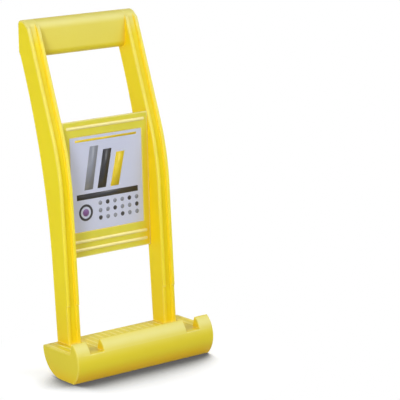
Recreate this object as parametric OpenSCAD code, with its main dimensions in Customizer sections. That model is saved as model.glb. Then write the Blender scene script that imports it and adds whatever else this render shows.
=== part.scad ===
// Panel carrier: a hand tool that hooks under the edge of a sheet of board so that one person can carry it.
// The shoe takes the lower edge of the board, the rails lie against its face and the handle is gripped above.
// X runs across the carrier, -Y faces the board, +Z is up, and the origin is the middle of the flat base.

/* [Overall] */
// Height from the base to the top of the handle
total_h = 368; // [358:1:380]
// Width across the outer faces of the two rails
rail_span = 142.6; // [132:0.2:152]

/* [Shoe] */
// Length of the shoe across the carrier
shoe_l = 179; // [170:1:200]
// Depth of the flat that the shoe stands on
base_flat = 23.5; // [21:0.5:26]
// Height of the panel ledge above the base, also the radius of the round back
ledge_h = 31.5; // [30:0.5:34]
// Depth of the ledge from the foot of the lip to its back edge
ledge_d = 49; // [47:0.5:51]
// Height of the lip above the ledge, to its sharp corner before rounding
lip_h = 12.6; // [10:0.2:14]
// Distance that the crest of the lip leans forward of its foot
lip_forward = 3.6; // [2.6:0.1:5]
// Radius of the crest of the lip
crest_r = 1.5; // [1:0.1:2]
// Bulge of the front face beyond a straight line from the base to the crest
front_bulge = 10.7; // [9:0.1:12]
// Wall thickness of the shoe and of its cover
shoe_wall = 3; // [2.5:0.1:3.4]
// Width of the strip of the shoe that shows in front of the cover on the base
seam_w = 3.5; // [3:0.1:5]
// Distance from rib to rib along the ledge
rib_pitch = 8.6; // [6:0.1:12]
// Width of each rib of the ledge
rib_w = 2; // [1.4:0.1:3]
// Height of each rib of the ledge
rib_h = 0.5; // [0.3:0.1:1]
// Room on each side of a rail's width in the notch of the lip before it
notch_room = 0.7; // [0.3:0.1:1.5]

/* [Rails] */
// Width of each rail
rail_w = 15.9; // [14.4:0.1:17.4]
// Clear depth for the panel between the foot of the lip and the foot of the rails
panel_gap = 26.7; // [25:0.1:29]
// Distance from the back edge of the ledge to the back of the rails
rail_inset = 0.5; // [0.3:0.1:2]
// Backward lean of the lower front of the rails, in degrees
rail_lean = 3.2; // [2.4:0.1:4]
// Backward lean of the upper rails and the handle, in degrees
handle_lean = 19.8; // [17:0.1:22]
// Height at which the front of the rails bends
bend_h = 220; // [212:1:228]
// Radius of the bend in the front of the rails
bend_r = 250; // [200:5:300]
// Backward lean of the lower back of the rails, in degrees
back_lean = 4; // [3:0.1:5]
// Height at which the back of the rails starts to curve
curve_h = 112; // [106:1:120]
// Radius of the curve in the back of the rails
curve_r = 750; // [700:10:800]
// Width of each ridge on the front of a rail
ridge_w = 4; // [3:0.1:4.4]
// Height of the ridges above the groove between them
ridge_h = 3; // [2.6:0.1:3.6]
// Height above the base of the step in the ridges
step_h = 73; // [60:1:90]
// Depth of the step in the ridges
step_d = 1.2; // [0.6:0.1:1.6]
// Length of the tenon below the foot of a rail
tenon_l = 13.5; // [11:0.5:15]
// Depth of the tenon from front to back
tenon_d = 8.6; // [7.6:0.1:9]
// Distance from the front of a rail's foot to its tenon
tenon_inset = 2.2; // [1.8:0.1:3]
// Shoulder on each side of the tenon
tenon_side = 2.5; // [2:0.1:3]

/* [Handle] */
// Height of the grip from its underside to its top
grip_h = 39.5; // [36:0.5:42]
// Depth of the grip at its top, from the line of the rails' front to its back face
grip_top_d = 16; // [15.6:0.1:18]
// Distance from the crests of the ridges back to the front of the handle between them
grip_setback = 2.3; // [2:0.1:2.4]
// Radius of the upper front edge of the grip
grip_front_r = 11; // [9:0.1:11.2]
// Radius of the upper back edge of the grip
grip_back_r = 5; // [4.8:0.1:5.2]
// Radius of the two lower edges of the grip
grip_palm_r = 8; // [6.5:0.1:8.2]
// Wall thickness of the grip and of its cover
grip_wall = 3; // [2.6:0.1:3.4]
// Thickness of the end walls of the grip
grip_end = 4; // [3:0.1:6]
// Length of the spigot at each end of the grip
spigot_l = 8; // [7:0.1:10]
// Distance from the skin of the grip in to the skin of the spigot
spigot_inset = 4; // [3.6:0.1:4.4]
// Distance from the middle of the grip to each screw of its cover
grip_screw_x = 32; // [24:1:40]
// Angle above level at which the ridges run out on the top of the handle, in degrees
fade_angle = 50; // [40:1:60]

/* [Label plate] */
// Height of the lower edge of the plate above the base
plate_z = 117.3; // [112:0.1:124]
// Height of the plate
plate_h = 146; // [140:1:150]
// Thickness of the plate
plate_t = 3; // [2.6:0.1:3.2]
// Backward lean of the plate, in degrees
plate_lean = 1.2; // [0.8:0.1:2]
// Distance from the front of the rails to the front of the plate at its lower edge
plate_setback = 18.5; // [17.5:0.1:19]
// Width of the tongue on each side of the plate
tongue_w = 3; // [2:0.1:4]
// Thickness of the tongue
tongue_t = 1.6; // [1.2:0.1:1.8]
// Distance from the top of the plate to the top of the tongue
tongue_drop = 38; // [34:1:50]
// Distance from the lower edge of the plate to the foot of the tongue
tongue_rise = 4; // [2:0.5:8]
// Radius of the ribs across the plate
bead_r = 1.6; // [1:0.1:2]
// Distance from the rails to the ends of the ribs
bead_gap = 4.6; // [3:0.1:8]
// Distance from the lower edge of the plate to the lowest rib
bead_low = 7.9; // [6.5:0.1:8.5]
// Distance between the two lower ribs
bead_pitch = 8.8; // [8:0.1:9.6]
// Distance from the top of the plate to the upper rib
bead_high = 7.2; // [6:0.1:9]
// Width of the label
label_w = 93; // [80:1:98]
// Height of the label
label_h = 101.5; // [90:0.5:104]
// Distance from the lower edge of the plate to the label
label_rise = 27.2; // [26:0.1:28.4]
// Thickness of the label
label_t = 0.3; // [0.2:0.05:0.4]
// Depth of the recess that the label lies in
label_recess = 0.5; // [0.3:0.05:0.7]
// Room round the label in its recess
label_room = 0.6; // [0.3:0.1:1]

/* [Screws] */
// Diameter of the shank of every screw
screw_d = 3.2; // [3:0.1:3.5]
// Diameter of the head of every screw
head_d = 6.4; // [6:0.1:6.8]
// Height of the head of every screw
head_h = 1.8; // [1.5:0.1:2]
// Length of the handle screws under the head
handle_screw_l = 9; // [8:0.5:9.5]
// Length of the shoe screws under the head
shoe_screw_l = 14; // [11:0.5:15]
// Distance from the middle of the shoe to each screw of its cover
cover_screw_x = 42; // [30:1:48]
// Height of the bosses on the cover above the base
cover_boss_h = 6; // [5.6:0.1:8]
// Diameter of the bosses and posts that take the shoe screws
boss_d = 10; // [9:0.1:11]

/* [Fits] */
// Clearance between pieces that slot into each other
fit_gap = 0.2; // [0.1:0.05:0.3]
// Radial clearance round a screw in the piece that it passes through
pass_gap = 0.3; // [0.2:0.05:0.4]
// Radial clearance round a screw in the piece that it grips
bite_gap = 0.05; // [0.03:0.01:0.08]

/* [Hidden] */
$fn = 72;
fine = 720;
yellow = "#f0d21e";
lilac = "#d9d9ea";
steel = "#b9bcc0";
past = 1;
reach = shoe_l;

// Section of the shoe, as points in Y and Z
base_front = [-base_flat / 2, 0];
round_back = [base_flat / 2, ledge_h];
ledge_back = base_flat / 2 + ledge_h;
lip_foot = [ledge_back - ledge_d, ledge_h];
lip_tip = lip_foot + [-lip_forward, lip_h];
front_chord = lip_tip - base_front;
front_r = (front_chord * front_chord / 4 + front_bulge * front_bulge) / (2 * front_bulge);
front_centre = (base_front + lip_tip) / 2
    + (front_r - front_bulge) * [front_chord[1], -front_chord[0]] / norm(front_chord);
lip_up = (lip_tip - lip_foot) / norm(lip_tip - lip_foot);
lip_out = [-lip_up[1], lip_up[0]];
crest_start = lip_foot + crest_r * lip_out - front_centre;
crest_run = -crest_start * lip_up
    + sqrt(pow(crest_start * lip_up, 2) - crest_start * crest_start + pow(front_r - crest_r, 2));
crest = front_centre + crest_start + crest_run * lip_up;
crest_ray = (crest - front_centre) / norm(crest - front_centre);
seam_y = base_front[0] + seam_w;
shoe_in = shoe_l / 2 - shoe_wall;

// Rails: their place across the carrier and the lines of their front and back
rail_out = rail_span / 2;
rail_in = rail_out - rail_w;
rail_mid = rail_out - rail_w / 2;
rail_front = lip_foot[0] + panel_gap;
rail_back = ledge_back - rail_inset;
function crest_y(z) = rail_front - step_d + (z - ledge_h) * tan(rail_lean);
function along(angle) = [sin(angle), cos(angle)];
function behind(angle) = [cos(angle), -sin(angle)];
bend = [crest_y(bend_h), bend_h];
bend_run = bend_r * tan((handle_lean - rail_lean) / 2);
bend_start = bend - bend_run * along(rail_lean);
bend_end = bend + bend_run * along(handle_lean);
bend_centre = bend_start + bend_r * behind(rail_lean);
curve_start = [rail_back + (curve_h - ledge_h) * tan(back_lean), curve_h];
curve_centre = curve_start + curve_r * behind(back_lean);
curve_end = curve_centre - curve_r * behind(handle_lean);
tenon_front = rail_front + tenon_inset;
tenon_mid = tenon_front + tenon_d / 2;
tenon_z = ledge_h - tenon_l;

// Handle: the outline of its ends as circles in Y and Z, from the lower front round to the upper front
grip_under = total_h - grip_h;
grip_back = bend[0] + (total_h - bend_h) * tan(handle_lean) + grip_top_d;
function behind_front(z, depth) =
    bend[0] + (z - bend_h) * tan(handle_lean) + depth / cos(handle_lean);
function front_circle(z, r) = [behind_front(z, grip_setback + r), z, r];
handle_circles = [front_circle(grip_under + grip_palm_r, grip_palm_r),
                  [grip_back - grip_palm_r, grip_under + grip_palm_r, grip_palm_r],
                  [grip_back - grip_back_r, total_h - grip_back_r, grip_back_r],
                  front_circle(total_h - grip_front_r, grip_front_r)];

// Grip: the same outline with an upright front, which leaves more of the rails bare towards its foot
grip_front = handle_circles[3][0] - grip_front_r;
grip_foot_r = min(grip_palm_r, 0.49 * (grip_back - grip_front));
grip_circles = [[grip_front + grip_foot_r, grip_under + grip_foot_r, grip_foot_r],
                [grip_back - grip_foot_r, grip_under + grip_foot_r, grip_foot_r],
                handle_circles[2],
                handle_circles[3]];
rail_top = curve_end + (grip_back - curve_end[0]) / sin(handle_lean) * along(handle_lean);
fade_from = [handle_circles[3][0], handle_circles[3][1]] + grip_front_r * [-cos(fade_angle), sin(fade_angle)];
fade_way = -[sin(fade_angle), cos(fade_angle)];
function fade_to(depth) = fade_from
    + (depth - (fade_from - bend) * behind(handle_lean)) / (fade_way * behind(handle_lean)) * fade_way;
grip_mid = total_h - grip_h / 2;
window_low = grip_under + grip_palm_r;
window_high = total_h - grip_back_r;
window_x = rail_in - grip_end - grip_wall;

// Label plate
plate_y = crest_y(plate_z) + plate_setback;
label_x = label_w / 2;
beads = [bead_low, bead_low + bead_pitch, plate_h - bead_high];

// Screws
seat_depth = head_h + fit_gap;
rail_seat = tenon_z - cover_boss_h;
cover_screw_y = (seam_y + round_back[0]) / 2;
rail_screw_x = rail_in + spigot_l / 2;

// Extrudes a section drawn in Y and Z along X
module along_x(start, length) {
    translate([start, 0, 0])
        rotate([90, 0, 90])
            linear_extrude(length)
                children();
}

// Convex outline with a round corner on each circle, given in turn anticlockwise
module rounded(circles) {
    count = len(circles);
    sides = [for (i = [0:count - 1])
        let (a = circles[i], b = circles[(i + 1) % count])
        let (run = [b[0] - a[0], b[1] - a[1]], length = norm(run), slope = (a[2] - b[2]) / length)
        slope * run / length + sqrt(1 - slope * slope) * [run[1], -run[0]] / length];
    polygon([for (i = [0:count - 1]) for (c = [circles[i], circles[(i + 1) % count]])
        [c[0], c[1]] + c[2] * sides[i]]);
    for (i = [0:count - 1]) {
        c = circles[i];
        start = sides[(i + count - 1) % count];
        end = sides[i];
        translate([c[0], c[1]])
            intersection() {
                circle(c[2]);
                polygon(2 * c[2] * [[0, 0], start, (start + end) / norm(start + end), end]);
            }
    }
}

function inset(circles, depth) = [for (c = circles) [c[0], c[1], c[2] - depth]];

// Round boss or bore along Y, from one depth back to another
module along_y(x, z, from, to, d) {
    translate([x, from, z])
        rotate([-90, 0, 0])
            cylinder(h = to - from, d = d);
}

// Pan-head screw with a cross recess, its seat at z = 0 and its shank upwards
module screw(length) {
    slot_w = head_d / 6;
    slot_l = head_d * 0.6;
    difference() {
        union() {
            cylinder(h = length, d = screw_d);
            translate([0, 0, -head_h])
                cylinder(h = head_h, d = head_d);
        }
        for (turn = [0, 90])
            rotate(turn)
                translate([-slot_l / 2, -slot_w / 2, -head_h - past])
                    cube([slot_l, slot_w, head_h / 2 + past]);
    }
}

// Room for a screw that passes through a piece, with its head let in by the seat's depth
module screw_way(length, depth) {
    cylinder(h = length, d = screw_d + 2 * pass_gap);
    translate([0, 0, -depth])
        cylinder(h = depth, d = head_d + 2 * pass_gap);
}

// Pilot hole that a screw cuts its thread in
module pilot(length) {
    cylinder(h = length, d = screw_d + 2 * bite_gap);
}

// Moves a screw that points up to each of its places
module at_rail_screws() {
    for (side = [-1, 1])
        translate([side * rail_mid, tenon_mid, rail_seat])
            children();
}

module at_cover_screws() {
    for (side = [-1, 1])
        translate([side * cover_screw_x, cover_screw_y, seat_depth])
            children();
}

// Handle screws point forwards from the back face
module at_handle_screws(places) {
    for (x = places)
        translate([x, grip_back - seat_depth, grip_mid])
            rotate([90, 0, 0])
                children();
}

// Shoe

module shoe_outline() {
    difference() {
        union() {
            intersection() {
                translate(front_centre)
                    circle(front_r, $fn = fine);
                polygon([base_front, lip_tip, lip_tip - [reach, 0], base_front - [reach, 0]]);
            }
            polygon([base_front, [round_back[0], 0], round_back, lip_foot, lip_tip]);
            intersection() {
                translate(round_back)
                    circle(ledge_h, $fn = fine);
                translate([round_back[0], 0])
                    square(ledge_h);
            }
        }
        polygon([crest,
                 crest - (crest_r + past) * lip_out,
                 crest - (crest_r + past) * lip_out + 4 * crest_r * lip_up,
                 front_centre + (front_r + 4 * crest_r) * crest_ray]);
    }
    translate(crest)
        circle(crest_r);
}

module shoe_hollow() {
    intersection() {
        translate([-reach, shoe_wall])
            square([2 * reach + ledge_back, ledge_h - 2 * shoe_wall]);
        union() {
            translate(front_centre)
                circle(front_r - shoe_wall, $fn = fine);
            translate([front_centre[0], 0])
                square([reach, ledge_h]);
        }
        union() {
            translate([-reach, 0])
                square([reach + round_back[0], ledge_h]);
            translate(round_back)
                circle(ledge_h - shoe_wall, $fn = fine);
        }
    }
}

module cover_section() {
    translate([seam_y, 0])
        square([round_back[0] - seam_y, shoe_wall]);
    intersection() {
        difference() {
            translate(round_back)
                circle(ledge_h, $fn = fine);
            translate(round_back)
                circle(ledge_h - shoe_wall, $fn = fine);
        }
        translate([round_back[0], 0])
            square([ledge_h, ledge_h - shoe_wall]);
    }
}

module cover_opening() {
    translate([seam_y - fit_gap, -past])
        square([round_back[0] - seam_y + fit_gap, shoe_wall + past]);
    translate([round_back[0], -past])
        square([ledge_h + past, ledge_h - shoe_wall + past]);
}

module ledge_ribs() {
    half = floor((shoe_l / 2 - rib_w) / rib_pitch);
    for (i = [-half:half])
        if (abs(abs(i * rib_pitch) - rail_mid) > rail_w / 2 + notch_room + rib_w / 2)
            translate([i * rib_pitch - rib_w / 2, lip_foot[0], ledge_h])
                cube([rib_w, ledge_d, rib_h]);
}

module tenon_space(gap) {
    for (side = [-1, 1])
        translate([side * rail_mid - rail_w / 2 + tenon_side - gap, tenon_front - gap, tenon_z])
            cube([rail_w - 2 * tenon_side + 2 * gap, tenon_d + 2 * gap, tenon_l + past]);
}

module shoe() {
    color(yellow) {
        difference() {
            union() {
                difference() {
                    along_x(-shoe_l / 2, shoe_l)
                        shoe_outline();
                    along_x(-shoe_in, 2 * shoe_in)
                        shoe_hollow();
                    along_x(-shoe_in, 2 * shoe_in)
                        cover_opening();
                }
                for (side = [-1, 1])
                    translate([side * cover_screw_x, cover_screw_y, cover_boss_h])
                        cylinder(h = ledge_h - shoe_wall / 2 - cover_boss_h, d = boss_d);
                ledge_ribs();
            }
            for (side = [-1, 1])
                translate([side * rail_mid - rail_w / 2 - notch_room, lip_tip[0] - reach, ledge_h])
                    cube([rail_w + 2 * notch_room, reach + lip_forward + past, lip_h + past]);
            tenon_space(fit_gap);
            at_cover_screws()
                pilot(shoe_screw_l + past);
        }
    }
}

module shoe_cover() {
    color(yellow) {
        difference() {
            union() {
                along_x(-shoe_in + fit_gap, 2 * (shoe_in - fit_gap))
                    cover_section();
                for (side = [-1, 1])
                    translate([side * cover_screw_x, cover_screw_y, 0])
                        cylinder(h = cover_boss_h, d = boss_d);
                intersection() {
                    for (side = [-1, 1])
                        translate([side * rail_mid, tenon_mid, 0])
                            cylinder(h = tenon_z, d = boss_d);
                    along_x(-shoe_in, 2 * shoe_in)
                        shoe_outline();
                }
            }
            tenon_space(fit_gap);
            at_cover_screws()
                screw_way(cover_boss_h, seat_depth + past);
            at_rail_screws()
                screw_way(tenon_l, rail_seat + past);
        }
    }
}

// Rails

// Side outline of a slice of the rail, its front set back from the crests and stepped back again at its foot
module rail_slice(depth, drop) {
    arc_start = bend_start + depth * behind(rail_lean);
    arc_end = bend_end + depth * behind(handle_lean);
    front = crest_y(ledge_h) + depth / cos(rail_lean);
    step = crest_y(step_h) + depth / cos(rail_lean);
    top_z = handle_circles[3][1];
    top = depth < grip_setback ? [fade_from, fade_to(depth)] : [[behind_front(top_z, depth), top_z]];
    difference() {
        union() {
            polygon(concat([[front + drop, ledge_h],
                            [rail_back, ledge_h],
                            curve_start,
                            curve_end,
                            rail_top,
                            [handle_circles[2][0], handle_circles[2][1]]],
                           top,
                           [arc_end, arc_start, [step, step_h], [step + drop, step_h]]));
            intersection() {
                translate(bend_centre)
                    circle(bend_r - depth, $fn = fine);
                polygon([arc_start, arc_end, arc_end - [ridge_h, 0], arc_start - [ridge_h, 0]]);
            }
        }
        translate(curve_centre)
            circle(curve_r, $fn = fine);
    }
    rounded(handle_circles);
}

module tongue(gap) {
    translate([rail_in - past, (plate_t - tongue_t) / 2 - gap, tongue_rise - gap])
        cube([tongue_w + gap + past, tongue_t + 2 * gap, plate_h - tongue_drop - tongue_rise + 2 * gap]);
}

module in_plate() {
    translate([0, plate_y, plate_z])
        rotate([-plate_lean, 0, 0])
            children();
}

module rail() {
    difference() {
        union() {
            for (x = [rail_in, rail_out - ridge_w])
                along_x(x, ridge_w)
                    rail_slice(0, step_d);
            along_x(rail_in + ridge_w, rail_w - 2 * ridge_w)
                rail_slice(ridge_h, 0);
            translate([rail_in + tenon_side, tenon_front, tenon_z])
                cube([rail_w - 2 * tenon_side, tenon_d, tenon_l + past]);
        }
        along_x(rail_in - past, spigot_l + fit_gap + past)
            rounded(inset(grip_circles, spigot_inset - fit_gap));
        in_plate()
            tongue(fit_gap);
        at_rail_screws()
            pilot(shoe_screw_l + past);
        at_handle_screws([rail_screw_x])
            screw_way(handle_screw_l, seat_depth + past);
    }
}

module right_rail() {
    color(yellow)
        rail();
}

module left_rail() {
    color(yellow)
        mirror([1, 0, 0])
            rail();
}

// Handle

module handle_grip() {
    color(yellow) {
        difference() {
            union() {
                difference() {
                    union() {
                        along_x(-rail_in, 2 * rail_in)
                            rounded(grip_circles);
                        along_x(-rail_in - spigot_l, 2 * (rail_in + spigot_l))
                            rounded(inset(grip_circles, spigot_inset));
                    }
                    along_x(-rail_in + grip_end, 2 * (rail_in - grip_end))
                        rounded(inset(grip_circles, grip_wall));
                    translate([-window_x, grip_back - grip_wall - fit_gap, window_low])
                        cube([2 * window_x, reach, window_high - window_low]);
                }
                for (side = [-1, 1])
                    along_y(side * grip_screw_x, grip_mid, grip_front + grip_wall / 2, grip_back - grip_wall,
                            1.2 * head_d);
            }
            at_handle_screws([-rail_screw_x, -grip_screw_x, grip_screw_x, rail_screw_x])
                pilot(handle_screw_l + past);
        }
    }
}

module handle_cover() {
    color(yellow) {
        difference() {
            translate([-window_x + fit_gap, grip_back - grip_wall, window_low + fit_gap])
                cube([2 * (window_x - fit_gap), grip_wall, window_high - window_low - 2 * fit_gap]);
            at_handle_screws([-grip_screw_x, grip_screw_x])
                screw_way(handle_screw_l, seat_depth + past);
        }
    }
}

// Label plate

module label_plate() {
    color(yellow) {
        in_plate() {
            difference() {
                union() {
                    translate([-rail_in + fit_gap, 0, 0])
                        cube([2 * (rail_in - fit_gap), plate_t, plate_h]);
                    for (side = [0, 1])
                        mirror([side, 0, 0])
                            tongue(0);
                    for (z = beads)
                        translate([-rail_in + bead_gap, 0, z])
                            rotate([0, 90, 0])
                                cylinder(h = 2 * (rail_in - bead_gap), r = bead_r);
                }
                translate([-label_x - label_room, -past, label_rise - label_room])
                    cube([label_w + 2 * label_room, label_recess + past, label_h + 2 * label_room]);
            }
        }
    }
}

module label() {
    color(lilac)
        in_plate()
            translate([-label_x, label_recess - label_t, label_rise])
                cube([label_w, label_t, label_h]);
}

// Screws

module rail_screws() {
    color(steel)
        at_rail_screws()
            screw(shoe_screw_l);
}

module cover_screws() {
    color(steel)
        at_cover_screws()
            screw(shoe_screw_l);
}

module handle_screws() {
    color(steel)
        at_handle_screws([-rail_screw_x, -grip_screw_x, grip_screw_x, rail_screw_x])
            screw(handle_screw_l);
}

shoe();
shoe_cover();
left_rail();
right_rail();
handle_grip();
handle_cover();
label_plate();
label();
rail_screws();
cover_screws();
handle_screws();
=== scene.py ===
"""Looks of the panel carrier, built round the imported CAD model. X runs across the carrier, -Y faces the
board that is carried, and +Z is up, as in the CAD model. The carrier's own sizes are in millimetres and
angles in degrees. The camera, the floor, the lamps and the reach of the materials are in metres."""

import math

import bmesh
import bpy
from mathutils import Matrix, Vector


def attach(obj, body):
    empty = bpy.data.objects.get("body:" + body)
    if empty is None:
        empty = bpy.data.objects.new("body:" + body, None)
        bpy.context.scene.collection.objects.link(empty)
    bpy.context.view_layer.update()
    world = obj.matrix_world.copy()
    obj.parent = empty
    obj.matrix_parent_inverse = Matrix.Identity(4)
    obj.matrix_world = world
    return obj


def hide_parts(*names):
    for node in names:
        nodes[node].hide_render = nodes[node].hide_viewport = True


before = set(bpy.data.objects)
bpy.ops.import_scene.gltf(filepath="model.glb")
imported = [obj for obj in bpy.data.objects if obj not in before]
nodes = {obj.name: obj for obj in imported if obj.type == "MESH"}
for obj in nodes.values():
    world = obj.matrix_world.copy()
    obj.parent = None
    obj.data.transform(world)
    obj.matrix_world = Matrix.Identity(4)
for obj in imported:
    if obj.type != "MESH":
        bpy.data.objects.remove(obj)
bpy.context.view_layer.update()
MM = 0.001
WHITE = (1, 1, 1, 1)

# Camera, fitted to the photograph's edges
CAMERA_AT = Vector((-1270.233, -1720.051, 654.635)) * MM
CAMERA_RIGHT = Vector((0.78261444, -0.62238034, -0.01254428))
CAMERA_UP = Vector((0.14444557, 0.16195862, 0.97616847))
CAMERA_LENS, CAMERA_SENSOR = 188.061, 36.0
CAMERA_CLIP = 0.05, 60.0

# Floor: its colours, the soft painted shadow under the carrier, and where plain white takes over
FLOOR_HALF, FLOOR_DROP = 12.0, 0.0002
FLOOR_COLOUR, FLOOR_ROUGH = (0.62, 0.625, 0.64), 0.9
FLOOR_SHOWN, FLOOR_SHADED, FLOOR_LIT = (1.6, 1.64, 1.74), (0.128, 0.13, 0.135), 0.35
SHADE_FROM, SHADE_REACH, SHADE_OPEN, SHADE_SAMPLES = (0.46, 0.58, 0.67), 0.105, (0.34, 0.88), 24
WHITE_RANGE = 0.11, 0.18
BACKDROP_RANGE = -0.1, 0.1

# Room and lamps: each lamp's name, place, width and power
WORLD_LIGHT = (0.22, 0.22, 0.22)
ROOM_FRONT, ROOM_TURN = 0.35, (-0.6, 0.3)
LAMP_AIM = Vector((0.0, 0.03, 0.18))
LAMPS = (("crest", (1.84, -1.4, 2.37), 2.0, 42),
         ("left", (-1.3, -0.7, 0.6), 0.6, 12.5),
         ("front", (0.2, -1.7, 0.9), 1.0, 4.6),
         ("back", (0.0, 1.65, 0.45), 0.8, 9))

# Unevenness of surfaces: scale and octaves of each noise, and strength and depth of each bump
MOTTLE, SHEEN_MOTTLE, WEAR_HIGHLIGHT_MOTTLE, GLOSS_MOTTLE = (18, 3), (60, 3), (120, 3), (22, 2)
SHEEN_LEAST, WEAR_HIGHLIGHT_LEAST, ROUGH_SPREAD = 0.8, 0.75, 0.06
GRAIN, GRAIN_BUMP = (1400, 2), (0.04, 0.00012)
FILM_MOTTLE, FILM_GLOSS, FILM_GRAIN, FILM_BUMP = (30, 3), (300, 2), (600, 2), (0.05, 0.00005)
STEEL_MOTTLE, STEEL_GLOSS, STEEL_GRAIN, STEEL_BUMP = (900, 3), (1500, 2), (3000, 2), (0.1, 0.00005)

# Yellow plastics: a piece's two mottled colours, the painted shade of its recesses, its pale edges (part
# wear, part painted highlight), and how far these reach. A high sharpness keeps the painted highlight to
# faces that look straight along the facing direction.
# The first colour below is painted shade laid in recesses; the second is a painted highlight, a paler colour
# laid on faces that look up and forward in place of sheen.
AMBER_SHADE, SHEEN_PAINT = (0.9, 0.58, 0.01), (0.86, 0.79, 0.25)
PLASTIC_IOR, AO_SAMPLES = 1.5, 12
SHEEN_FACING = (0.0, -0.8, 0.6)
EDGE_FULL = 0.97, 0.55
# Heights over which a rail's pale edges grow, part wear and part painted highlight, and their least share
# low down.
RAIL_WEAR_HIGHLIGHT_HEIGHTS, RAIL_WEAR_HIGHLIGHT_LOW = (0.1, 0.26), 0.35
# Heights over which the painted highlight spreads across the top of a rail, below the grip.
RAIL_SHEEN_HEIGHTS = 0.338, 0.362
BODY = dict(light=(0.825, 0.7, 0.032), deep=(0.805, 0.66, 0.027), recess_shade=AMBER_SHADE, worn_highlight=(0.92, 0.82, 0.22),
            gloss=0.3, rough=0.4, sheen_sharp=20, edge_reach=0.002,
            recess_shade_reach=0.025, recess_shade_open=(0.3, 0.95))
# A low sharpness spreads the grip's painted highlight wider over its crown and front.
GRIP = dict(BODY, sheen_sharp=4, edge_reach=0.0008)
# The plate's colours are darker and greener than the body's: painted shade for its place set back between
# the rails.
PLATE = dict(BODY, light=(0.76, 0.7, 0.06), deep=(0.74, 0.67, 0.05), worn_highlight=(0.97, 0.88, 0.4),
             gloss=0.5, rough=0.3)
# On the rails the painted shade reaches far, so their inner sides, between the other rail, the grip and the
# plate, come out darker.
RAIL = dict(light=(0.97, 0.82, 0.013), deep=(0.96, 0.78, 0.011), recess_shade=(0.93, 0.69, 0.012),
            worn_highlight=(0.97, 0.87, 0.34), gloss=0.15, rough=0.32, sheen_sharp=45, edge_reach=0.0028,
            recess_shade_reach=0.12, recess_shade_open=(0.6, 1.0), rail=True)

# Steel and printed film: two mottled colours of each, and the range of roughness
STEEL, STEEL_ROUGH = ((0.52, 0.53, 0.55), (0.68, 0.69, 0.7)), (0.28, 0.42)
FILM, FILM_ROUGH = ((0.58, 0.61, 0.77), (0.63, 0.66, 0.8)), (0.3, 0.4)
INKS = {"label_dark": ((0.03, 0.03, 0.035), (0.05, 0.05, 0.06)),
        "label_yellow": ((0.85, 0.66, 0.03), (0.8, 0.6, 0.03)),
        "label_grey": ((0.24, 0.26, 0.32), (0.3, 0.32, 0.38)),
        "label_violet": ((0.2, 0.08, 0.3), (0.26, 0.12, 0.36))}

# Rounding of edges, the angle from which an edge shows as sharp, and the angle between a disc's corners
BEVEL_STEPS, SHARP_ANGLE, DISC_STEP = 3, 40.0, 12
SHOE_EDGE, SHOE_EDGE_ANGLE = 1.0, 38.0
PLATE_EDGE, PLATE_EDGE_ANGLE = 0.35, 60.0
COVER_EDGE, COVER_EDGE_ANGLE = 0.25, 32.0
WELD_WITHIN, FLAT_WITHIN = 0.01, 0.3

# Shoe: its section in Y and Z, and where it changes along X
SHOE_HALF, SHOE_WALL = 89.5, 3.0
SHOE_IN = SHOE_HALF - SHOE_WALL
LEDGE_Z, LEDGE_BACK = 31.5, 43.25
BASE_FRONT, BASE_BACK = Vector((-11.75, 0.0)), Vector((11.75, 0.0))
LIP_FOOT, LIP_TIP = Vector((-5.75, LEDGE_Z)), Vector((-9.35, 44.1))
FRONT_BULGE, CREST_R, FOOT_FILLET = 10.7, 1.5, 1.0
SEAM_Y = -8.25
NOTCH_IN, NOTCH_OUT = 54.7, 72.0

# Ribs on the ledge: RIB_SUNK is a share of their height, and a RIB_DOME below 1 makes their tops flatter
RIB_PITCH, RIB_W, RIB_H, RIB_TAPER, RIB_IN_LIP = 8.6, 2.0, 0.5, 9.0, 0.3
RIB_DOME, RIB_SUNK, RIB_TAPER_STEPS = 0.7, 0.3, 6

# Rails: the lines of their front and back, and the ridges on their front
RAIL_IN, RAIL_OUT = 55.4, 71.3
RAIL_LEAN, HANDLE_LEAN, BACK_LEAN = 3.2, 19.8, 4.0
CREST_Y, RAIL_BACK = 19.75, 42.75
BEND_Z, BEND_R = 220.0, 250.0
CURVE_Z, CURVE_R = 112.0, 750.0
STEP_Z, STEP_D, STEP_SLOPE = 73.0, 1.2, 0.35
RIDGE_W, RIDGE_H, RIDGE_R, GROOVE_R, GROOVE_SIDE = 4.0, 3.0, 1.3, 1.0, 0.25
RIDGE_TURN = 80.0

# Handle: circles in Y and Z that its outline runs round, and how the rails' fronts run into the grip's
TOP_Z, GRIP_UNDER, GRIP_TOP_D = 368.0, 328.5, 16.0
GRIP_SETBACK, GRIP_FRONT_R, GRIP_BACK_R, GRIP_PALM_R = 2.3, 11.0, 5.0, 8.0
GRIP_END, GRIP_END_SLOPE = 55.6, 0.12
MERGE_BELOW, MERGE_ABOVE, FLAT_FROM = 6.0, 4.0, 1.5
FADE_ANGLE, FADE_STEPS = 50.0, 5
COVER_X, COVER_DEPTH = 48.4, 3.2
HANDLE_SCREW_X, HANDLE_SCREW_Z = 59.4, (TOP_Z + GRIP_UNDER) / 2
COUNTERBORE_R, COUNTERBORE_DEPTH, CUT_PAST = 3.5, 2.0, 3.0

# Label plate, in its own frame: across, back from its face and up from its lower edge
PLATE_Z, PLATE_SETBACK, PLATE_LEAN = 117.3, 18.5, 1.2
PLATE_HALF, PLATE_T, PLATE_H = 55.2, 3.0, 146.0
RECESS_HALF, RECESS_LOW, RECESS_HIGH, RECESS_D = 47.1, 26.6, 129.3, 0.5
BEADS, BEAD_HALF = (7.9, 16.7, 138.8), 50.8
BEAD_R, BEAD_SUNK, BEAD_TURN, BEAD_STEP = 1.6, 0.3, 80.0, 15

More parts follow.
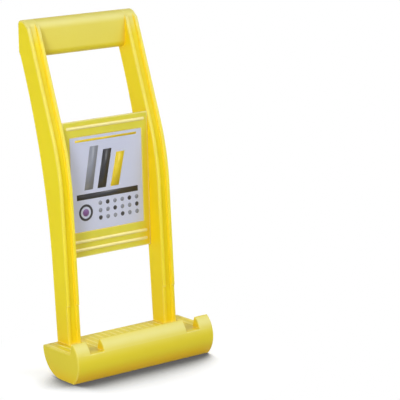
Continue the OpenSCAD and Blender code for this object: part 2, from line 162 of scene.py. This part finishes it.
# Print on the label: across from the label's middle and up from its lower edge
LABEL_LOW, PRINT_FACE, PRINT_T = 27.2, 0.16, 0.06
PRINT_HALF, BAR, LINE = 40.0, (34.0, 40.0), (96.0, 98.4)
BOARD_X, BOARD_PITCH, BOARD_W, BOARD_SLANT = -30.0, 17.0, 11.0, 9.0
BOARD_LOW, BOARD_HIGH, BOARD_DROP = 44.0, 90.0, 5.0
RING_AT, RING_R, RING_W, SPOT_R = (-29.0, 20.0), 9.0, 2.6, 4.0
DOTS_AT, DOTS_PITCH, DOTS_COUNT, DOT_R = (-10.0, 12.0), (9.6, 8.0), (6, 3), 2.4


def cosd(angle):
    return math.cos(math.radians(angle))


def sind(angle):
    return math.sin(math.radians(angle))


def tand(angle):
    return math.tan(math.radians(angle))


def angle_of(v):
    return math.degrees(math.atan2(v.y, v.x)) % 360


def spaced(start, end, steps):
    return [start + (end - start) * i / steps for i in range(steps + 1)]


def arc(centre, r, start, end, steps):
    """Points on a circle in Y and Z, from one angle to another."""
    return [Vector((centre[0] + r * cosd(a), centre[1] + r * sind(a))) for a in spaced(start, end, steps)]


def along(lean):
    return Vector((sind(lean), cosd(lean)))


def behind(lean):
    return Vector((cosd(lean), -sind(lean)))


def rgba(colour):
    return colour + (1,)


def add_object(name, data):
    obj = bpy.data.objects.new(name, data)
    bpy.context.scene.collection.objects.link(obj)
    return obj


# Node trees

class Nodes:
    """A node tree, emptied, with short calls to add nodes to it."""

    def __init__(self, tree):
        self.tree = tree
        tree.nodes.clear()

    def add(self, kind, **settings):
        node = self.tree.nodes.new(kind)
        for name, value in settings.items():
            setattr(node, name, value)
        return node

    def put(self, value, socket):
        """Links another node's result to a socket, or sets the socket to a plain value."""
        if isinstance(value, bpy.types.NodeSocket):
            self.tree.links.new(value, socket)
        else:
            socket.default_value = value

    def fill(self, node, *values):
        """Gives values to a node's first sockets."""
        for socket, value in zip(node.inputs, values):
            self.put(value, socket)
        return node

    def coordinate(self, kind):
        return self.add("ShaderNodeTexCoord").outputs[kind]

    def place(self):
        """Points of the object, in metres."""
        return self.coordinate("Object")

    def axis(self, vector, name):
        return self.fill(self.add("ShaderNodeSeparateXYZ"), vector).outputs[name]

    def noise(self, scale, detail):
        node = self.add("ShaderNodeTexNoise")
        self.put(self.place(), node.inputs["Vector"])
        self.put(scale, node.inputs["Scale"])
        self.put(detail, node.inputs["Detail"])
        return node.outputs["Fac"]

    def spread(self, value, low, high):
        """Takes a value from 0..1 to low..high."""
        node = self.add("ShaderNodeMapRange")
        self.put(value, node.inputs["Value"])
        self.put(low, node.inputs["To Min"])
        self.put(high, node.inputs["To Max"])
        return node.outputs["Result"]

    def ramp(self, value, start, end):
        """0 up to a start, 1 from an end on, and smooth between them."""
        node = self.add("ShaderNodeMapRange", interpolation_type="SMOOTHSTEP")
        self.put(value, node.inputs["Value"])
        self.put(start, node.inputs["From Min"])
        self.put(end, node.inputs["From Max"])
        return node.outputs["Result"]

    def math(self, operation, a, b):
        return self.fill(self.add("ShaderNodeMath", operation=operation), a, b).outputs[0]

    def mix(self, share, a, b):
        """Mixes two colours."""
        node = self.add("ShaderNodeMix", data_type="RGBA")
        for socket, value in ((0, share), (6, a), (7, b)):
            self.put(value, node.inputs[socket])
        return node.outputs[2]

    def mix_shaders(self, share, a, b):
        return self.fill(self.add("ShaderNodeMixShader"), share, a.outputs[0], b.outputs[0])

    def openness(self, reach, samples, **settings):
        """Node whose AO is the open share of what lies within a reach."""
        node = self.add("ShaderNodeAmbientOcclusion", samples=samples, **settings)
        self.put(reach, node.inputs["Distance"])
        return node


class Surface(Nodes):
    """The node tree of a new material, with a shader on its output."""

    def __init__(self, name):
        self.material = bpy.data.materials.new(name)
        self.material.use_nodes = True
        super().__init__(self.material.node_tree)
        self.shader = self.add("ShaderNodeBsdfPrincipled")
        self.output = self.add("ShaderNodeOutputMaterial")
        self.show(self.shader)

    def show(self, shader):
        self.put(shader.outputs[0], self.output.inputs["Surface"])

    def set(self, name, value):
        self.put(value, self.shader.inputs[name])

    def bump(self, height, strength, distance):
        node = self.add("ShaderNodeBump")
        self.put(height, node.inputs["Height"])
        self.put(strength, node.inputs["Strength"])
        self.put(distance, node.inputs["Distance"])
        self.set("Normal", node.outputs["Normal"])


# Camera, floor and light

def make_camera():
    data = bpy.data.cameras.new("camera")
    data.sensor_width, data.lens = CAMERA_SENSOR, CAMERA_LENS
    data.clip_start, data.clip_end = CAMERA_CLIP
    camera = add_object("camera", data)
    back = CAMERA_RIGHT.cross(CAMERA_UP)
    turn = Matrix((CAMERA_RIGHT, CAMERA_UP, back)).transposed().to_4x4()
    camera.matrix_world = Matrix.Translation(CAMERA_AT) @ turn
    bpy.context.scene.camera = camera


def make_floor():
    """Pale floor, with a painted shadow near the carrier laid over part of the real one, and seen as plain
    white further off.
    """
    mesh = bpy.data.meshes.new("floor")
    square = (-1, -1), (1, -1), (1, 1), (-1, 1)
    mesh.from_pydata([(x * FLOOR_HALF, y * FLOOR_HALF, -FLOOR_DROP) for x, y in square], [], [(0, 1, 2, 3)])
    floor = add_object("floor", mesh)
    n = Surface("floor")
    n.set("Base Color", rgba(FLOOR_COLOUR))
    n.set("Roughness", FLOOR_ROUGH)
    n.set("Specular IOR Level", 0.0)

    # Painted shadow: how open the sky is towards SHADE_FROM, within SHADE_REACH, sets the floor's colour
    # near the carrier, and most of this is shown as emission.
    sky = n.fill(n.add("ShaderNodeCombineXYZ"), *SHADE_FROM)
    open_sky = n.openness(SHADE_REACH, SHADE_SAMPLES)
    n.put(sky.outputs[0], open_sky.inputs["Normal"])
    shade = n.ramp(open_sky.outputs["AO"], *SHADE_OPEN)
    lit = n.add("ShaderNodeBsdfDiffuse")
    plain, white = n.add("ShaderNodeEmission"), n.add("ShaderNodeEmission")
    n.put(n.mix(shade, rgba(FLOOR_SHADED), rgba(FLOOR_SHOWN)), lit.inputs["Color"])
    n.put(n.mix(shade, rgba(FLOOR_SHADED), WHITE), plain.inputs["Color"])
    near = n.mix_shaders(FLOOR_LIT, plain, lit)
    distance = n.fill(n.add("ShaderNodeVectorMath", operation="LENGTH"), n.place()).outputs["Value"]
    shown = n.mix_shaders(n.ramp(distance, *WHITE_RANGE), near, white)

    path = n.add("ShaderNodeLightPath")
    backdrop = n.ramp(n.axis(n.place(), "Y"), *BACKDROP_RANGE)
    mirrored = n.math("MULTIPLY", path.outputs["Is Glossy Ray"], backdrop)
    seen = n.math("MAXIMUM", path.outputs["Is Camera Ray"], mirrored)
    n.show(n.mix_shaders(seen, n.shader, shown))
    mesh.materials.append(n.material)


def make_light():
    """Soft lamps in a white room. Its back shows as white in gloss. Its front, behind the camera, is dim."""
    world = bpy.data.worlds.new("world")
    world.use_nodes = True
    n = Nodes(world.node_tree)
    path = n.add("ShaderNodeLightPath")
    mirrored = n.spread(n.ramp(n.axis(n.coordinate("Generated"), "Y"), *ROOM_TURN), ROOM_FRONT, 1.0)
    gloss = n.mix(path.outputs["Is Glossy Ray"], rgba(WORLD_LIGHT), mirrored)
    background, output = n.add("ShaderNodeBackground"), n.add("ShaderNodeOutputWorld")
    n.put(n.mix(path.outputs["Is Camera Ray"], gloss, WHITE), background.inputs["Color"])
    n.put(background.outputs[0], output.inputs["Surface"])
    bpy.context.scene.world = world
    for name, at, size, power in LAMPS:
        data = bpy.data.lights.new(name, "AREA")
        data.shape, data.size, data.energy = "DISK", size, power
        lamp = add_object(name, data)
        lamp.location = at
        lamp.rotation_mode = "QUATERNION"
        lamp.rotation_quaternion = (LAMP_AIM - Vector(at)).to_track_quat("-Z", "Y")


# Materials

def yellow_plastic(name, light, deep, recess_shade, worn_highlight, gloss, rough, sheen_sharp, edge_reach, recess_shade_reach,
                   recess_shade_open, rail=False):
    """Satin moulded plastic: a faint mottle, painted shade in recesses, edges paler in part from wear and in
    part as painted highlight, and fine grain. Faces that look up and forward get a painted highlight: a
    paler colour in place of sheen. A rail gets that painted highlight on top, and its pale edges grow up the
    rail."""
    n = Surface(name)
    height = n.axis(n.place(), "Z") if rail else None
    colour = n.mix(n.noise(*MOTTLE), rgba(light), rgba(deep))

    # Painted highlight: faces that look along the facing direction get a paler colour in place of sheen.
    facing = n.add("ShaderNodeVectorMath", operation="DOT_PRODUCT")
    n.fill(facing, n.coordinate("Normal"), SHEEN_FACING)
    forward = n.spread(facing.outputs["Value"], 0.0, 1.0)
    sheen = n.math("POWER", forward, sheen_sharp)
    if rail:
        sheen = n.math("MAXIMUM", sheen, n.math("MULTIPLY", forward, n.ramp(height, *RAIL_SHEEN_HEIGHTS)))
    sheen = n.math("MULTIPLY", sheen, n.spread(n.noise(*SHEEN_MOTTLE), SHEEN_LEAST, 1.0))
    colour = n.mix(sheen, colour, rgba(SHEEN_PAINT))

    # Painted shade: parts with little open space around them take the darker recess colour.
    recess_openness = n.openness(recess_shade_reach, AO_SAMPLES)
    colour = n.mix(n.ramp(recess_openness.outputs["AO"], *recess_shade_open), rgba(recess_shade), colour)

    # Pale edges, part wear and part painted highlight: convex edges take a paler colour, on a rail more so
    # higher up.
    within = n.openness(edge_reach, AO_SAMPLES, inside=True, only_local=True)
    wear_highlight = n.ramp(within.outputs["AO"], *EDGE_FULL)
    wear_highlight = n.math("MULTIPLY", wear_highlight, n.spread(n.noise(*WEAR_HIGHLIGHT_MOTTLE), WEAR_HIGHLIGHT_LEAST, 1.0))
    if rail:
        wear_highlight = n.math("MULTIPLY", wear_highlight, n.spread(n.ramp(height, *RAIL_WEAR_HIGHLIGHT_HEIGHTS), RAIL_WEAR_HIGHLIGHT_LOW, 1.0))
    n.set("Base Color", n.mix(wear_highlight, colour, rgba(worn_highlight)))

    n.set("Roughness", n.spread(n.noise(*GLOSS_MOTTLE), rough, rough + ROUGH_SPREAD))
    n.set("IOR", PLASTIC_IOR)
    n.set("Specular IOR Level", gloss)
    n.bump(n.noise(*GRAIN), *GRAIN_BUMP)
    return n.material


def screw_steel():
    n = Surface("screw_steel")
    dark, pale = STEEL
    n.set("Base Color", n.mix(n.noise(*STEEL_MOTTLE), rgba(dark), rgba(pale)))
    n.set("Roughness", n.spread(n.noise(*STEEL_GLOSS), *STEEL_ROUGH))
    n.set("Metallic", 1.0)
    n.bump(n.noise(*STEEL_GRAIN), *STEEL_BUMP)
    return n.material


def printed_film(name, light, deep):
    """Film with a soft gloss, printed in one colour that is a little uneven."""
    n = Surface(name)
    n.set("Base Color", n.mix(n.noise(*FILM_MOTTLE), rgba(light), rgba(deep)))
    n.set("Roughness", n.spread(n.noise(*FILM_GLOSS), *FILM_ROUGH))
    n.bump(n.noise(*FILM_GRAIN), *FILM_BUMP)
    return n.material


# Meshes

class Build:
    """Collects a piece's faces. Points at the same place are one vertex, so strips and walls join up."""

    def __init__(self):
        self.index, self.points, self.faces, self.plain_from = {}, [], [], None

    def keep_plain(self):
        """What is added from here on keeps its edges as they are."""
        self.plain_from = len(self.points)

    def vertex(self, x, y, z):
        key = (round(x, 3), round(y, 3), round(z, 3))
        if key not in self.index:
            self.index[key] = len(self.points)
            self.points.append((x, y, z))
        return self.index[key]

    def face(self, corners):
        found = [self.vertex(*c) for c in corners]
        kept = [v for i, v in enumerate(found) if v != found[i - 1]]
        if len(kept) > 2:
            self.faces.append(kept)

    def strip(self, x0, x1, path):
        """Quads between two places along X, over a path in Y and Z."""
        for a, b in zip(path, path[1:]):
            self.face([(x0, *a), (x0, *b), (x1, *b), (x1, *a)])

    def wall(self, x, outline):
        self.face([(x, *p) for p in outline])

    def loft(self, loops, capped=True):
        """Quads between closed loops of as many points, and a face on each end."""
        for a, b in zip(loops, loops[1:]):
            for i in range(len(a)):
                self.face([a[i - 1], a[i], b[i], b[i - 1]])
        if capped:
            self.face(loops[0])
            self.face(loops[-1])

    def mesh(self, name, place=None, angle=None):
        """The faces with their normals outward, and edges sharper than an angle marked for rounding."""
        mesh = bpy.data.meshes.new(name)
        mesh.from_pydata([Vector(p) * MM for p in self.points], [], self.faces)
        if place:
            mesh.transform(place)
        work = bmesh.new()
        work.from_mesh(mesh)
        bmesh.ops.recalc_face_normals(work, faces=work.faces)
        if angle:
            weight = work.edges.layers.float.new("bevel_weight_edge")
            work.verts.index_update()
            last = len(self.points) if self.plain_from is None else self.plain_from
            for e in work.edges:
                body = all(v.index < last for v in e.verts)
                e[weight] = float(body and math.degrees(e.calc_face_angle(0)) > angle)
        work.to_mesh(mesh)
        work.free()
        return mesh

    def piece(self, name, material, stands_for, edge=None, angle=None, place=None):
        """The faces as a piece of the carrier, its marked edges rounded where a width is named."""
        mesh = self.mesh(name, place, angle)
        mesh.polygons.foreach_set("use_smooth", [True] * len(mesh.polygons))
        mesh.materials.append(material)
        obj = add_object(name, mesh)
        if edge:
            soften(obj, edge)
        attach(obj, "root")
        if stands_for:
            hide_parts(stands_for)
        return obj


def even_normals(obj):
    normals = obj.modifiers.new("normals", "WEIGHTED_NORMAL")
    normals.keep_sharp = True


def soften(obj, width, angle=None):
    """Rounds the edges that are sharper than an angle, or those that are marked."""
    bevel = obj.modifiers.new("edges", "BEVEL")
    bevel.width, bevel.segments = width * MM, BEVEL_STEPS
    bevel.limit_method = "ANGLE" if angle else "WEIGHT"
    if angle:
        bevel.angle_limit = math.radians(angle)
    bevel.use_clamp_overlap = False
    even_normals(obj)


def mark_sharp(obj):
    obj.data.set_sharp_from_angle(angle=math.radians(SHARP_ANGLE))


def box_outline(x0, z0, x1, z1, slant=0.0):
    return [(x0, z0), (x1, z0), (x1 + slant, z1), (x0 + slant, z1)]


def disc_outline(x, z, r):
    return [(x + r * cosd(a), z + r * sind(a)) for a in range(0, 360, DISC_STEP)]


# Shoe

def make_shoe(material):
    """Front wall, lip with its notches, ledge and end walls, open below for the cover."""
    chord = LIP_TIP - BASE_FRONT
    radius = (chord.length_squared / 4 + FRONT_BULGE ** 2) / (2 * FRONT_BULGE)
    inward = Vector((chord.y, -chord.x)).normalized()
    centre = (BASE_FRONT + LIP_TIP) / 2 + (radius - FRONT_BULGE) * inward
    lip_up = (LIP_TIP - LIP_FOOT).normalized()
    lip_in = Vector((-lip_up.y, lip_up.x))
    start = LIP_FOOT + CREST_R * lip_in - centre
    rise = start.dot(lip_up)
    reach = math.sqrt(rise ** 2 - start.length_squared + (radius - CREST_R) ** 2) - rise
    crest = centre + start + reach * lip_up
    fillet = LIP_FOOT + FOOT_FILLET * Vector(((1 + lip_in.y) / -lip_in.x, 1))
    crest_angle = angle_of(crest - centre)
    notch_angle = 180 - math.degrees(math.asin((LEDGE_Z - centre.y) / radius))
    back_centre = Vector((BASE_BACK.x, LEDGE_Z))
    seam_angle = -math.degrees(math.asin(SHOE_WALL / LEDGE_Z))

    lip = arc(fillet, FOOT_FILLET, 270, angle_of(lip_in), 4)
    lip += arc(crest, CREST_R, angle_of(-lip_in), crest_angle, 8)[:-1]
    lip += arc(centre, radius, crest_angle, notch_angle, 10)
    seam = Vector((SEAM_Y, 0))
    front = arc(centre, radius, notch_angle, angle_of(BASE_FRONT - centre), 20) + [seam]
    under = [seam] + arc(back_centre, LEDGE_Z, 270, 360 + seam_angle, 24)
    top = arc(back_centre, LEDGE_Z, seam_angle, 0, 2) + [lip[0]]
    inner_r = radius - SHOE_WALL
    low, high = SHOE_WALL, LEDGE_Z - SHOE_WALL
    low_angle = 180 + math.degrees(math.asin((centre.y - low) / inner_r))
    high_angle = 180 - math.degrees(math.asin((high - centre.y) / inner_r))
    hollow = [seam, Vector((SEAM_Y, low))] + arc(centre, inner_r, low_angle, high_angle, 14) + [top[0]]

    b = Build()
    stops = (-SHOE_HALF, -SHOE_IN, -NOTCH_OUT, -NOTCH_IN, NOTCH_IN, NOTCH_OUT, SHOE_IN, SHOE_HALF)
    for x0, x1 in zip(stops, stops[1:]):
        middle = abs(x0 + x1) / 2
        b.strip(x0, x1, front)
        b.strip(x0, x1, top)
        b.strip(x0, x1, under if middle > SHOE_IN else hollow)
        b.strip(x0, x1, [lip[0], lip[-1]] if NOTCH_IN < middle < NOTCH_OUT else lip)
    for side in (-1, 1):
        b.wall(side * SHOE_HALF, front + under + top + lip)
        b.wall(side * SHOE_IN, under + hollow[::-1])
        for x in (NOTCH_IN, NOTCH_OUT):
            b.wall(side * x, lip)
    b.keep_plain()
    add_ribs(b)
    return b.piece("carrier_shoe", material, "shoe", SHOE_EDGE, SHOE_EDGE_ANGLE)


def add_ribs(b):
    """Low ribs across the ledge, left out at the notches and the rails, that sink away at the back."""
    count = int((SHOE_HALF - RIB_W) / RIB_PITCH)
    section = [(0.5 * cosd(a), sind(a) ** RIB_DOME) for a in spaced(180, 0, 10)]
    section += [(0.5, -RIB_SUNK), (-0.5, -RIB_SUNK)]
    ends = [(LIP_FOOT.x - RIB_IN_LIP, 1.0)]
    for i in range(RIB_TAPER_STEPS):
        share = i / RIB_TAPER_STEPS
        ends.append((LEDGE_BACK - RIB_TAPER * (1 - share), cosd(90 * share)))
    for i in range(-count, count + 1):
        x = i * RIB_PITCH
        if abs(abs(x) - (RAIL_IN + RAIL_OUT) / 2) > (NOTCH_OUT - NOTCH_IN) / 2 + RIB_W / 2:
            b.loft([[(x + RIB_W * u, y, LEDGE_Z + RIB_H * (h * tall if h > 0 else h)) for u, h in section]
                    for y, tall in ends])


# Rails and handle

def low_front_y(z, depth=0.0):
    """Y of the lower front of the rails, or of a line set back from it."""
    return CREST_Y + depth / cosd(RAIL_LEAN) + (z - LEDGE_Z) * tand(RAIL_LEAN)


def high_front_y(z, depth=0.0):
    """Y of the upper front of the rails, or of a line set back from it."""
    return low_front_y(BEND_Z) + (z - BEND_Z) * tand(HANDLE_LEAN) + depth / cosd(HANDLE_LEAN)


GRIP_BACK = high_front_y(TOP_Z) + GRIP_TOP_D
PALM_Z = GRIP_UNDER + GRIP_PALM_R
CROWN_Z = TOP_Z - GRIP_FRONT_R
PALM_BACK = Vector((GRIP_BACK - GRIP_PALM_R, PALM_Z))
CROWN_BACK = Vector((GRIP_BACK - GRIP_BACK_R, TOP_Z - GRIP_BACK_R))
CROWN_FRONT = Vector((high_front_y(CROWN_Z, GRIP_SETBACK + GRIP_FRONT_R), CROWN_Z))
PALM_FRONT = Vector((CROWN_FRONT.x - GRIP_FRONT_R + GRIP_PALM_R, PALM_Z))


def rail_loop(x, depth, inset):
    """Outline of a rail at one place across it. Its front is set back by a depth, and its back and top by
    an inset."""
    bend = Vector((low_front_y(BEND_Z), BEND_Z))
    run = BEND_R * tand((HANDLE_LEAN - RAIL_LEAN) / 2)
    bend_centre = bend - run * along(RAIL_LEAN) + BEND_R * behind(RAIL_LEAN)
    step = STEP_D * (1 - depth / RIDGE_H)
    path = [Vector((low_front_y(LEDGE_Z, depth) + step, LEDGE_Z)),
            Vector((low_front_y(STEP_Z, depth) + step, STEP_Z - STEP_SLOPE)),
            Vector((low_front_y(STEP_Z, depth), STEP_Z))]
    path += arc(bend_centre, BEND_R - depth, 180 - RAIL_LEAN, 180 - HANDLE_LEAN, 14)

    shown = min(depth, GRIP_SETBACK)
    merge_from, merge_to = PALM_Z - MERGE_BELOW, PALM_Z + MERGE_ABOVE
    path.append(Vector((high_front_y(merge_from, depth), merge_from)))
    path.append(Vector((high_front_y(merge_to, shown), merge_to)))
    crown = GRIP_FRONT_R - inset
    fade_from = CROWN_FRONT + crown * Vector((-cosd(FADE_ANGLE), sind(FADE_ANGLE)))
    fade_way = -Vector((sind(FADE_ANGLE), cosd(FADE_ANGLE)))
    back = behind(HANDLE_LEAN)
    fade_to = fade_from + (shown - (fade_from - bend).dot(back)) / fade_way.dot(back) * fade_way
    bow = arc(CROWN_FRONT, crown, 180 - HANDLE_LEAN, 180 - FADE_ANGLE, FADE_STEPS)
    flat = min(1, max(0, (depth - FLAT_FROM) / (GRIP_SETBACK - FLAT_FROM))) if inset == 0 else 0
    path += [fade_to.lerp(fade_from, i / FADE_STEPS).lerp(bow[i], flat) for i in range(FADE_STEPS)]
    path += arc(CROWN_FRONT, crown, 180 - FADE_ANGLE, 90, 6)
    path += arc(CROWN_BACK, GRIP_BACK_R - inset, 90, 0, 6)

    curve_start = Vector((RAIL_BACK + (CURVE_Z - LEDGE_Z) * tand(BACK_LEAN), CURVE_Z))
    curve_centre = curve_start + CURVE_R * behind(BACK_LEAN)
    curve_end = curve_centre - CURVE_R * back
    palm = GRIP_PALM_R - inset
    gap = (curve_end - PALM_BACK).dot(back) - inset
    meet = PALM_BACK + gap * back - math.sqrt(palm ** 2 - gap ** 2) * along(HANDLE_LEAN)
    path += arc(PALM_BACK, palm, 0, angle_of(meet - PALM_BACK) - 360, 6)
    path += arc(curve_centre, CURVE_R + inset, 180 - HANDLE_LEAN, 180 - BACK_LEAN, 16)
    path.append(Vector((RAIL_BACK - inset / cosd(BACK_LEAN), LEDGE_Z)))
    return [(x, *p) for p in path]


def rail_stations():
    """Places across a rail from its inner side, with the front's depth and the back's inset at each."""
    half = []
    for a in spaced(0, 90, 5):
        out = RIDGE_R * (1 - sind(a))
        half.append((RIDGE_R * (1 - cosd(a)), out, out))
    for a in spaced(0, RIDGE_TURN, 4):
        half.append((RIDGE_W - RIDGE_R + RIDGE_R * sind(a), RIDGE_R * (1 - cosd(a)), 0))
    for a in spaced(RIDGE_TURN, 0, 4):
        across = RIDGE_W + GROOVE_R * (1 - sind(a)) + GROOVE_SIDE
        half.append((across, RIDGE_H - GROOVE_R * (1 - cosd(a)), 0))
    width = RAIL_OUT - RAIL_IN
    return half + [(width - u, depth, inset) for u, depth, inset in half[::-1]]


def make_rail(side, name, node, material):
    """Bent rail with a counterbore in its back for the head of a handle screw."""
    b = Build()
    b.loft([rail_loop(side * (RAIL_IN + u), depth, inset) for u, depth, inset in rail_stations()])
    obj = b.piece(name, material, node)
    cut = Build()
    circle = disc_outline(side * HANDLE_SCREW_X, HANDLE_SCREW_Z, COUNTERBORE_R)
    depths = GRIP_BACK - COUNTERBORE_DEPTH, GRIP_BACK + CUT_PAST
    cut.loft([[(u, y, w) for u, w in circle] for y in depths])
    cutter = add_object("counterbore", cut.mesh("counterbore"))
    hole = obj.modifiers.new("hole", "BOOLEAN")
    hole.object, hole.operation, hole.solver = cutter, "DIFFERENCE", "EXACT"
    bpy.context.view_layer.update()
    made = bpy.data.meshes.new_from_object(obj.evaluated_get(bpy.context.evaluated_depsgraph_get()))
    obj.modifiers.clear()
    obj.data = made
    bpy.data.objects.remove(cutter)
    mark_sharp(obj)
    even_normals(obj)


def make_grip(material):
    """Bar between the rails with a pocket for its cover. Its ends slope to keep clear of the screws."""
    back = [Vector((GRIP_BACK, PALM_Z)), Vector((GRIP_BACK, CROWN_BACK.y))]
    rest = arc(CROWN_BACK, GRIP_BACK_R, 0, 90, 8) + arc(CROWN_FRONT, GRIP_FRONT_R, 90, 180, 12)
    rest += arc(PALM_FRONT, GRIP_PALM_R, 180, 270, 12) + arc(PALM_BACK, GRIP_PALM_R, 270, 360, 12)
    deep = Vector((COVER_DEPTH, 0))
    pocket = [back[0], back[0] - deep, back[1] - deep, back[1]]
    outline = rest + back
    b = Build()
    b.strip(-COVER_X, COVER_X, rest)
    b.strip(-COVER_X, COVER_X, pocket)
    for side in (-1, 1):
        end = [(side * (GRIP_END + GRIP_END_SLOPE * (GRIP_BACK - p.x)), *p) for p in outline]
        b.loft([end, [(side * COVER_X, *p) for p in outline]], False)
        b.face(end)
        b.wall(side * COVER_X, pocket)
    mark_sharp(b.piece("carrier_grip", material, "handle_grip"))


# Label plate and label

def plate_frame(up=0.0):
    """Frame on the face of the plate, at a height up from its lower edge."""
    at = Vector((0, low_front_y(PLATE_Z) + PLATE_SETBACK, PLATE_Z)) * MM
    turn = Matrix.Rotation(math.radians(-PLATE_LEAN), 4, "X")
    return Matrix.Translation(at) @ turn @ Matrix.Translation((0, 0, up * MM))


def make_plate(material):
    """Flat plate with a recess for the label and half-round ribs above and below it."""
    face = [Vector(p) for p in ((0, PLATE_H), (0, RECESS_HIGH), (0, RECESS_LOW), (0, 0))]
    floor = [Vector((RECESS_D, RECESS_HIGH)), Vector((RECESS_D, RECESS_LOW))]
    pocket = face[:2] + floor + face[2:]
    back = [face[3], Vector((PLATE_T, 0)), Vector((PLATE_T, PLATE_H)), face[0]]
    b = Build()
    stops = (-PLATE_HALF, -RECESS_HALF, RECESS_HALF, PLATE_HALF)
    for x0, x1 in zip(stops, stops[1:]):
        b.strip(x0, x1, back)
        b.strip(x0, x1, pocket if x0 == -RECESS_HALF else face)
    for side in (-1, 1):
        b.wall(side * PLATE_HALF, face + back[1:-1])
        b.wall(side * RECESS_HALF, pocket[1:-1])
    b.keep_plain()
    for z in BEADS:
        ends = [(-BEAD_HALF + BEAD_R * (1 - sind(a)), BEAD_R * cosd(a)) for a in spaced(BEAD_TURN, 0, 5)]
        ends += [(-x, r) for x, r in ends[::-1]]
        b.loft([[(x, r * cosd(a), z + r * sind(a)) for a in range(90, 271, BEAD_STEP)] + [
            (x, BEAD_SUNK, z - r), (x, BEAD_SUNK, z + r)] for x, r in ends])
    return b.piece("carrier_plate", material, "label_plate", PLATE_EDGE, PLATE_EDGE_ANGLE,
                   plate_frame())


def ring_loops(x, z, r, width):
    """Outlines round the section of a flat ring, from its outer face edge back to it."""
    inner = r - width
    return [[(u, PRINT_FACE + t, w) for u, w in disc_outline(x, z, radius)]
            for radius, t in ((r, 0), (r, PRINT_T), (inner, PRINT_T), (inner, 0), (r, 0))]


def make_prints():
    """Plain design on the label: leaning boards over a dark bar, a ring, and rows of dots."""
    shapes = {name: [] for name in INKS}
    dark, yellow, grey, violet = shapes.values()
    dark.append(box_outline(-PRINT_HALF, BAR[0], PRINT_HALF, BAR[1]))
    for i, ink in enumerate((grey, dark, yellow)):
        x = BOARD_X + BOARD_PITCH * i
        ink.append(box_outline(x, BOARD_LOW, x + BOARD_W, BOARD_HIGH - BOARD_DROP * i, BOARD_SLANT))
    violet.append(disc_outline(*RING_AT, SPOT_R))
    for i in range(DOTS_COUNT[0]):
        for j in range(DOTS_COUNT[1]):
            x, z = DOTS_AT[0] + DOTS_PITCH[0] * i, DOTS_AT[1] + DOTS_PITCH[1] * j
            (grey if (i + j) % 3 else dark).append(disc_outline(x, z, DOT_R))
    yellow.append(box_outline(-PRINT_HALF, LINE[0], PRINT_HALF, LINE[1]))
    for name, outlines in shapes.items():
        b = Build()
        for outline in outlines:
            b.loft([[(x, t, z) for x, z in outline] for t in (PRINT_FACE, PRINT_FACE + PRINT_T)])
        if outlines is dark:
            b.loft(ring_loops(*RING_AT, RING_R, RING_W), False)
        b.piece(name, printed_film(name, *INKS[name]), None, place=plate_frame(LABEL_LOW))


# CAD nodes that are shown as they are

def dress(node, material, edge=None):
    """Gives a CAD node a material, and rounds its edges where a width is named."""
    obj = nodes[node]
    obj.data.materials.clear()
    obj.data.materials.append(material)
    if edge:
        weld = obj.modifiers.new("weld", "WELD")
        weld.merge_threshold = WELD_WITHIN * MM
        flat = obj.modifiers.new("flat", "DECIMATE")
        flat.decimate_type, flat.angle_limit = "DISSOLVE", math.radians(FLAT_WITHIN)
        soften(obj, edge, COVER_EDGE_ANGLE)


make_camera()
make_floor()
make_light()
body_yellow = yellow_plastic("yellow_plastic", **BODY)
rail_yellow = yellow_plastic("yellow_plastic_rails", **RAIL)
make_shoe(body_yellow)
make_rail(-1, "carrier_rail_left", "left_rail", rail_yellow)
make_rail(1, "carrier_rail_right", "right_rail", rail_yellow)
make_grip(yellow_plastic("yellow_plastic_grip", **GRIP))
make_plate(yellow_plastic("yellow_plastic_plate", **PLATE))
dress("shoe_cover", body_yellow, COVER_EDGE)
dress("handle_cover", body_yellow, COVER_EDGE)
dress("label", printed_film("label_film", *FILM))
make_prints()
steel = screw_steel()
for screws in ("rail_screws", "cover_screws", "handle_screws"):
    dress(screws, steel)

bpy.context.scene.view_settings.view_transform = "Standard"
